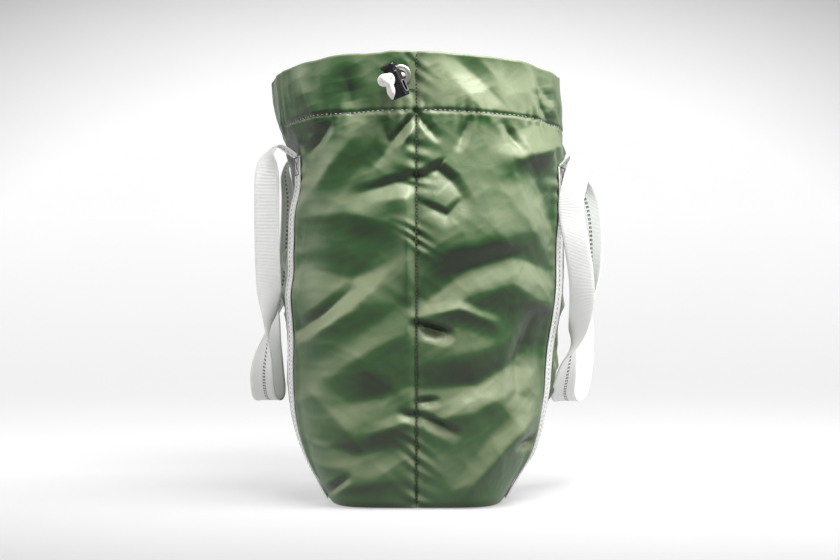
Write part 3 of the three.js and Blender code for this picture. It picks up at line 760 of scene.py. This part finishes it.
def run_line(side, end, z):
    """The sewn webbing's middle at heights z, and steps from it towards the far end."""
    middle = run_point(side, end, np.full(z.shape, end * RUN_Y), z, RUN_OUT)
    return middle, run_point(side, end, np.full(z.shape, end * RUN_Y + 4.0), z, RUN_OUT) - middle


def sewn_run(side, end):
    """The webbing sewn down one corner of the bag; returns the place and width direction of its top."""
    z = np.arange(4.0, RUN_TOP[side] + 0.1, STRAP_STEP)
    middle, ahead = run_line(side, end, z)
    across = ahead * -side
    travelled = z + (40 if end > 0 else 0)
    obj = strap_piece(f"webbing_run_{NAMES[side]}_{ENDS[end]}", *strap_sections(middle, across, travelled))
    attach(obj, "bag")
    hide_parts(f"webbing_{NAMES[side]}_{ENDS[end]}")
    return middle[-1], across[-1]


def root_heading(across, nominal):
    """The heading of the sewn webbing's width, on the half turn nearest to the loop's own heading."""
    angle = math.degrees(math.atan2(across[1], across[0]))
    return angle + 180 * round((nominal - angle) / 180)


def stations_with_roots(side, tops):
    """The loop's stations with the sewn ends added, so that strap and runs are one line."""
    loop = list(LOOPS[side])
    for end, index in ((-1, 0), (1, -1)):
        step = 1 if index == 0 else -1
        place, across = tops[end]
        heading = root_heading(across, loop[index][3])
        neighbour, third = loop[index + step], loop[index + 2 * step]
        loop[index] = (*place, heading)
        loop[index + step] = (*neighbour[:3], (heading + third[3]) / 2)
    return loop


def free_loop(side, tops):
    """The hanging loop, and the short roots that bend between it and the sewn runs."""
    name, root = NAMES[side], ROOT_ROWS
    line, travelled = smooth_line(stations_with_roots(side, tops), STRAP_STEP)
    heading = np.radians(line[:, 3])
    across = np.stack([np.cos(heading), np.sin(heading), heading * 0], -1)
    rings, uv = strap_sections(line[:, :3], across, travelled, cup=0.5)
    loop = strap_piece(f"webbing_loop_{name}", rings[root:-root], uv[root:-root])
    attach(loop, f"{name}_loop")
    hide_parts(f"handle_{name}")
    for end, part in ((-1, slice(0, root + 1)), (1, slice(len(rings) - root - 1, None))):
        piece = strap_piece(f"webbing_root_{name}_{ENDS[end]}", rings[part], uv[part])
        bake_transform(piece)


for side in (-1, 1):
    tops = {end: sewn_run(side, end) for end in (-1, 1)}
    free_loop(side, tops)

# ---- stitches ----------------------------------------------------------------------------------
def stitch_row(name, centres, tangents, normals, length, width, height, material):
    """A row of stitches in one mesh: each a short rounded bead that dips into the cloth at its ends."""
    points, faces = [], []
    ring_u = np.array([-1.0, -0.75, 0.0, 0.75, 1.0])
    for centre, along, out in zip(centres, tangents, normals):
        side = np.cross(out, along)
        start = len(points)
        for u in ring_u:
            arch = math.sqrt(1 - u * u)
            middle = centre + along * u * length / 2 + out * (height * (arch - 0.6))
            half = width / 2 * max(arch, 0.25)
            for turn in range(6):
                a = turn * math.pi / 3
                points.append(middle + side * half * math.cos(a) + out * half * 0.8 * math.sin(a))
        for ring in range(len(ring_u) - 1):
            for turn in range(6):
                nxt = (turn + 1) % 6
                faces.append((start + ring * 6 + turn, start + ring * 6 + nxt,
                              start + ring * 6 + 6 + nxt, start + ring * 6 + 6 + turn))
        faces.append([start + i for i in range(5, -1, -1)])
        faces.append([start + (len(ring_u) - 1) * 6 + i for i in range(6)])
    return finish_piece(mesh_object(name, points, faces), material)


def unit(v):
    return v / np.linalg.norm(v, axis=-1, keepdims=True)


def hem_stitches():
    """The row of lock stitches under the casing, of black and white threads."""
    for side in (-1, 1):
        fine = np.linspace(0.002, 0.998, 900)
        z = np.full(fine.shape, STITCH_Z)
        x, y, nx, ny = surface(side, fine, z)
        line = np.stack([x, y, z - droop(fine, z) + 0.5 * np.sin(fine * 40)], -1)
        run = np.concatenate([[0], np.cumsum(np.linalg.norm(np.diff(line, axis=0), axis=1))])
        places = np.arange(2.0, run[-1] - 2.0, 2.3)
        centre = np.stack([np.interp(places, run, column) for column in line.T], -1)
        normal = unit(np.stack([np.interp(places, run, nx), np.interp(places, run, ny), places * 0], -1))
        along = unit(np.gradient(centre, axis=0))
        centre = centre + normal * 0.2
        for which, (material, label) in enumerate(((DARK_THREAD, "dark"), (PALE_THREAD, "pale"))):
            pick = slice(which, None, 2)
            stitch_row(f"hem_stitches_{label}_{NAMES[side]}", centre[pick], along[pick], normal[pick],
                       2.2, 0.8, 0.45, material)


def seam_stitches():
    """The dark closing stitches along the near and far seams."""
    for end, label in ((0.0, "near"), (1.0, "far")):
        z = np.concatenate([np.arange(6.0, STITCH_Z - 3, 3.4), np.arange(STITCH_Z + 4, RIM_Z - 3, 3.4)])
        side = np.where(np.arange(z.size) % 2, 1, -1)
        turn = np.abs(end - 0.0006)
        points, normals = [], []
        for s in (-1, 1):
            x, y, nx, ny = surface(s, np.full(z.shape, turn), z)
            points.append(np.stack([x, y, z], -1))
            normals.append(np.stack([nx, ny, nx * 0], -1))
        centre = (points[0] + points[1]) / 2
        normal = unit(normals[0] + normals[1])
        centre = centre + normal * np.where(z < STITCH_Z, 3.4, 2.9)[:, None]
        along = np.zeros_like(centre)
        along[:, 2] = 1
        along[:, 0] = 0.35 * side
        stitch_row(f"seam_stitches_{label}", centre, unit(along), normal, 3.1, 1.3, 0.6, DARK_THREAD)


def edge_stitches():
    """Pale stitches that hold both edges of the sewn webbing."""
    for side in (-1, 1):
        for end in (-1, 1):
            z = np.arange(6.0, RUN_TOP[side] - 2, 3.9)
            middle, ahead = run_line(side, end, z)
            across = unit(ahead)
            out = unit(np.cross(across, UP) * (-1))
            out *= np.sign(np.sum(out * np.array([side, 0, 0]), axis=-1, keepdims=True))
            centre = np.vstack([middle + across * offset + out * 0.85 for offset in (-10.9, 10.9)])
            along = np.tile(UP, (len(centre), 1))
            stitch_row(f"edge_stitches_{NAMES[side]}_{ENDS[end]}", centre, along, np.vstack([out, out]),
                       2.6, 0.8, 0.4, PALE_THREAD)


TACK_HALF, TACK_TALL = 10, 17


def bar_tack(side, end):
    """Dense zigzag thread across the top of one sewn run: a box with both diagonals."""
    top = RUN_TOP[side] - 2.0
    _, ahead = run_line(side, end, np.array([top - 9]))
    across = unit(ahead[0])
    normal = unit(np.cross(across, UP))
    normal = normal * np.sign(normal[0] * side)
    low_left, low_right = (-TACK_HALF, -TACK_TALL), (TACK_HALF, -TACK_TALL)
    high_left, high_right = (-TACK_HALF, 0), (TACK_HALF, 0)
    centres, alongs = [], []
    for a, b in ((low_left, low_right), (low_right, high_right), (high_right, high_left),
                 (high_left, low_left), (low_left, high_right), (low_right, high_left)):
        span = np.hypot(b[0] - a[0], b[1] - a[1])
        way = np.array([b[0] - a[0], b[1] - a[1]]) / span
        count = int(span)
        for i in range(count):
            t = (i + 0.5) / count
            u, dz = a[0] + (b[0] - a[0]) * t, a[1] + (b[1] - a[1]) * t
            p = run_point(side, end, np.array([end * RUN_Y]), np.array([top + dz]), RUN_OUT)[0]
            centres.append(p + across * u + normal * 0.95)
            wobble = 0.75 if i % 2 else -0.75
            alongs.append(unit(across * (way[0] - way[1] * wobble) + UP * (way[1] + way[0] * wobble)))
    obj = stitch_row(f"bar_tack_thread_{NAMES[side]}_{ENDS[end]}", np.array(centres), np.array(alongs),
                     np.array([normal] * len(centres)), 1.8, 0.55, 0.35, TACK_THREAD)
    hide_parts(f"bar_tack_{NAMES[side]}_{ENDS[end]}")


hem_stitches()
seam_stitches()
edge_stitches()
for side in (-1, 1):
    for end in (-1, 1):
        bar_tack(side, end)


# ---- inner tapes ----------------------------------------------------------------------------------
def tape(name, rows, replaces):
    """A thin tape given by rows of points, thickened to a closed strip."""
    shape = np.array(rows)
    obj = mesh_object(name, shape.reshape(-1, 3), grid_faces(*shape.shape[:2]))
    solid = obj.modifiers.new("thickness", "SOLIDIFY")
    solid.thickness = 0.5 * MM
    finish_piece(obj, LINING, replaces=replaces)


def inner_tapes():
    for end, label in ((0.0, "near"), (1.0, "far")):
        z = np.arange(16.0, STITCH_Z - 1, 4.0)
        rows = []
        for across in np.linspace(-5, 5, 5):
            side = -1 if across < 0 else 1
            turn = np.full(z.shape, abs(end - abs(across) / 520 - 0.0005))
            _, y, _, ny = surface(side, turn, z)
            depth = 2.4 if abs(across) > 1 else -1.6
            rows.append(np.stack([np.full(z.shape, across), y - ny * depth, z], -1))
        tape(f"seam_tape_inside_{label}", rows, (f"seam_tape_{label}",))
    rows = []
    for z in (2.5, 5.0, 8.5, 12.5):
        halves = []
        for side, first, last in ((1, 0.001, 0.999), (-1, 0.999, 0.001)):
            x, y, nx, ny = surface(side, np.linspace(first, last, 80), np.full(80, z))
            halves.append(np.stack([x - nx * 2.2, y - ny * 2.2, np.full(80, z)], -1))
        rows.append(np.vstack(halves + [halves[0][:1]]))
    tape("base_tape_inside", rows, ("base_seam_tape",))


inner_tapes()


# ---- eyelet, cord, knot and cord lock --------------------------------------------------------------
PULL = unit(np.array([-0.5, -0.8, -0.3]))
LEAN = math.radians(18)
SIDEWAYS = unit(np.cross(PULL, [0.0, 0.0, 1.0]))


def lock_axes():
    """Right-handed axes of the cord lock, from the direction of the cords and the lean of its top."""
    up = np.cross(SIDEWAYS, PULL)
    up = unit(up * np.sign(up[2]))
    up = unit(up * math.cos(LEAN) + SIDEWAYS * np.sign(-SIDEWAYS[0]) * math.sin(LEAN))
    return up, unit(np.cross(PULL, up))


LOCK_UP, LOCK_ACROSS = lock_axes()


def tube(name, line, radius, material, body, sides=14, taper=None, closed=False):
    """A round cord along a line; a closed one ends where it starts."""
    line = np.asarray(line, float)
    along = unit(np.gradient(line, axis=0))
    if closed:
        along[0] = along[-1] = unit(line[1] - line[-2])
    reference = np.cross(along[0], [0.3, 0.2, 1.0])
    rings, uv, travelled = [], [], 0.0
    for i, (point, direction) in enumerate(zip(line, along)):
        reference = unit(reference - direction * reference.dot(direction))
        other = np.cross(direction, reference)
        if i:
            travelled += np.linalg.norm(line[i] - line[i - 1])
        r = radius * (taper[i] if taper is not None else 1.0)
        for k in range(sides):
            a = 2 * math.pi * k / sides
            rings.append(point + reference * r * math.cos(a) + other * r * math.sin(a))
            uv.append((k / sides * 2 * math.pi * radius * MM, travelled * MM))
    faces = grid_faces(len(line), sides, closed=True).tolist()
    if not closed:
        faces += [list(range(sides))[::-1], [(len(line) - 1) * sides + k for k in range(sides)]]
    obj = mesh_object(name, rings, faces)
    set_uv(obj, uv)
    return finish_piece(obj, material, body)


def dress_node(name, material, bevel=0.0):
    """A CAD piece kept as it is, with rounded edges and its real material."""
    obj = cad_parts[name]
    obj.data.materials.clear()
    obj.data.materials.append(material)
    if bevel:
        modifier = obj.modifiers.new("edges", "BEVEL")
        modifier.width = bevel * MM
        modifier.segments = 3
        modifier.limit_method = "ANGLE"
        modifier.angle_limit = math.radians(35)
    smooth = obj.modifiers.new("normals", "WEIGHTED_NORMAL")
    smooth.keep_sharp = False
    obj.data.shade_smooth()


dress_node("eyelet", NICKEL)
dress_node("eyelet_washer", NICKEL)
dress_node("eyelet_patch", LINING)
dress_node("cord_lock_body", PLASTIC, 0.5)
dress_node("cord_lock_plunger", PLASTIC, 0.5)
dress_node("cord_lock_spring", NICKEL)


def drawcord():
    """The cord inside the casing, all the way round from the eyelet and back to it."""
    points = []
    for side, first, last in ((1, 0.03, 1.0), (-1, 1.0, 0.068)):
        turn = np.linspace(first, last, 90)
        z = np.full(turn.shape, CORD_LEVEL)
        x, y, nx, ny = surface(side, turn, z)
        points.append(np.stack([x - nx * CORD_INSET, y - ny * CORD_INSET, z - droop(turn, z)], -1))
    line = np.vstack([points[0], points[1][1:]])
    gap = EYELET[None] + np.array([[3.5, 7.5, 0.0]]), EYELET[None] + np.array([[-3.5, 7.5, 0.0]])
    line, _ = smooth_line(np.vstack([gap[0], line[2:-2], gap[1]]), 3.0)
    cord = tube("drawcord_braid", line, CORD_R, BRAID, "bag", sides=12)
    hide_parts("drawcord")


drawcord()


# The cord ends lie side by side from the eyelet through the lock to the knot, as in the CAD.
APART = CORD_R + 0.08
KNOT_OUT = 32.0
KNOT_ASIDE = 4.0
OUTLET = np.array([EYELET[0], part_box("eyelet")[0][1] / MM + 1.7, EYELET[2]])
BEND = OUTLET + np.array([0.0, -3.0, 0.0])


def on_ends(distance):
    return BEND + PULL * (distance - 3)


def in_lock(distance, across, along, up):
    """A point given in the lock's axes about the place at this distance along the cord ends."""
    return on_ends(distance) + LOCK_ACROSS * across + PULL * along + LOCK_UP * up


def cord_ends():
    knot = knot_pieces()
    for s, label in ((1, "a"), (-1, "b")):
        inside = [OUTLET + np.array([s * APART, -out, 0.0]) for out in (-4.4, -2.6, -0.8, 1.0)]
        outside = [on_ends(d) - LOCK_ACROSS * s * APART for d in (7.5, 9.5, 12, 15, 18, 21, 28.5)]
        line, travelled = smooth_line(np.array(inside + outside), 1.0)
        obj = tube(f"cord_end_{label}_braid", line, CORD_R, BRAID, "cord_ends")
        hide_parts(f"cord_end_{label}")


def knot_pieces():
    """A tight knot of both ends: a rounded bight to one side, a wrap, and the cut tail hanging down."""
    upright = unit(UP - PULL * PULL[2])
    sideways = unit(np.cross(PULL, upright))

    def strand(name, points, radius, taper=None, closed=False):
        at = [on_ends(KNOT_OUT) + sideways * (p[0] - KNOT_ASIDE) + PULL * p[1] + upright * p[2]
              for p in points]
        line = np.array(at) if closed else smooth_line(np.array(at), 0.6)[0]
        shape = None if taper is None else np.interp(np.linspace(0, 1, len(line)), *taper)
        return tube(name, line, radius, BRAID, "cord_ends", taper=shape, closed=closed, sides=18)

    bight = strand("cord_knot_bight", [
        (-3.0, -1.0, 2.2), (0.5, 0.8, 3.6), (4.4, 1.4, 3.4), (7.4, 1.2, 1.2), (7.2, 0.8, -1.4),
        (4.2, 0.9, -2.4), (0.6, 0.6, -2.0), (-2.5, -0.8, -1.6)], 3.1)
    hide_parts("cord_knot")
    turn = np.linspace(0, 2 * np.pi, 41)
    wrap = strand("cord_knot_wrap", [
        (-1.4 + 0.5 * math.sin(a), 4.0 * math.sin(a), 0.6 + 3.9 * math.cos(a)) for a in turn],
        2.4, closed=True)
    over = strand("cord_knot_over", [(2.6, 2.4, 3.2), (-0.4, 4.4, 1.4), (-2.2, 4.0, -1.6), (-1.8, 2.4, -4.4)], 2.6)
    tails = [strand(f"cord_tail_{label}", [
        (-1.6, 1.2, -2.0), (-2.0 + x, 1.8, -6.5), (-1.9 + x, 1.4, -11.0), (-1.5, 0.8, -15.0),
        (-1.2, 0.4, -18.0)], 2.7, taper=([0, 0.55, 0.82, 1.0], [1.0, 1.12, 0.8, 0.25]))
        for label, x in (("a", -1.0), ("b", 1.0))]
    return [bight, wrap, over, *tails]


cord_ends()


def slot_rim():
    """The moulded lip round the window in the lock's narrow side, in pale grey: a painted highlight on the
    window's edge.
    """
    window_up, half_long, half_short = -11.0, 5.4, 2.5
    points = []
    for a in np.linspace(0, 2 * np.pi, 57):
        c, d = math.cos(a), math.sin(a)
        squircle = (abs(c) ** 4 + abs(d) ** 4) ** -0.25
        points.append(in_lock(17.0, -8.55, half_short * squircle * c, window_up + half_long * squircle * d))
    tube("lock_slot_rim", np.array(points), 0.42, EDGE_HIGHLIGHT_PLASTIC, "lock", sides=8, closed=True)


slot_rim()

# ---- stage and light -------------------------------------------------------------------------------
def area_light(name, place, target, size, power):
    data = bpy.data.lights.new(name, "AREA")
    data.shape = "RECTANGLE"
    data.size, data.size_y = size
    data.energy = power
    light = link(bpy.data.objects.new(name, data))
    light.location = place
    direction = Vector(target) - Vector(place)
    light.rotation_euler = direction.to_track_quat("-Z", "Y").to_euler()


def stage():
    """A pale floor that curves up behind the bag into a backdrop. It glows as painted light: dim in front, full
    behind the bag to wash out the bag's cast shadow, and darker towards the outer edges as a painted vignette.
    """
    n = Nodes("paper")
    shader = n.add("ShaderNodeBsdfPrincipled", Roughness=0.9, Emission_Strength=0.76)
    x, y, z = n.axes(n.place())
    # Painted light: the glow is weaker towards the outer edges, a painted vignette, and rises from the front of
    # the floor to full behind the bag, washing out the bag's cast shadow.
    wide = n.maths("POWER", n.maths("ABSOLUTE", n.maths("DIVIDE", x, 1.3)), 2.0)
    tall = n.maths("POWER", n.maths("ABSOLUTE", n.maths("DIVIDE", n.maths("SUBTRACT", z, 0.25), 0.95)), 2.0)
    away = n.maths("SQRT", n.maths("ADD", n.maths("MULTIPLY", x, x), n.maths("MULTIPLY", y, y)))
    outlying = n.maths("MAXIMUM", n.maths("SUBTRACT", away, 1.0), 0.0)
    span = n.maths("ADD", n.maths("MULTIPLY", outlying, 0.9), 0.78)
    behind = n.maths("MINIMUM", n.maths("DIVIDE", n.maths("ADD", y, 0.6), span), 1.0)
    low_wall = n.maths("MINIMUM", n.maths("MAXIMUM", z, 0.0), 0.4)
    climb = n.maths("ADD", n.maths("MULTIPLY", low_wall, 0.35), 0.86)
    edges = n.maths("ADD", n.maths("MULTIPLY", wide, 0.62), n.maths("MULTIPLY", tall, 1.22))
    painted_vignette = n.maths("SUBTRACT", 1.45, edges)
    glow = n.maths("MULTIPLY", n.maths("MINIMUM", painted_vignette, 1.0), n.maths("MULTIPLY", behind, climb))
    n.link(n.ramp(glow, [(0.0, (0.12, 0.12, 0.12)), (1.0, (1, 1, 1))]), shader.inputs["Emission Color"])
    paper = n.ramp(n.noise(Scale=3.0), [(0.3, (0.37, 0.37, 0.37)), (0.7, (0.39, 0.39, 0.39))])
    n.link(paper, shader.inputs["Base Color"])
    material = n.surface(shader.outputs[0])
    curve = [(2000 + 900 * math.sin(a), 900 - 900 * math.cos(a) - 0.4)
             for a in np.linspace(0, math.pi / 2, 14)[1:]]
    profile = [(0.0, -0.4), (1200.0, -0.4), (2000.0, -0.4), *curve, (2900, 3600)]
    turns = np.linspace(0, 2 * math.pi, 73)[:-1]
    points = [(r * math.cos(a), r * math.sin(a), z) for r, z in profile for a in turns]
    obj = mesh_object("paper_sweep", points, grid_faces(len(profile), len(turns), closed=True))
    obj.data.materials.append(material)


stage()
area_light("top", (0.30, -0.48, 1.14), (0.02, -0.08, 0.2), (0.9, 0.4), 20)
area_light("left", (-1.5, -0.1, 0.7), (0, 0, 0.2), (0.8, 1.0), 6.2)
area_light("right", (1.5, -0.1, 0.7), (0, 0, 0.2), (0.8, 1.0), 6.4)
world = bpy.data.worlds.new("room")
world.use_nodes = True
world.node_tree.nodes["Background"].inputs["Color"].default_value = (1, 1, 1, 1)
world.node_tree.nodes["Background"].inputs["Strength"].default_value = 0.08
bpy.context.scene.world = world
bpy.context.scene.view_settings.view_transform = "Standard"
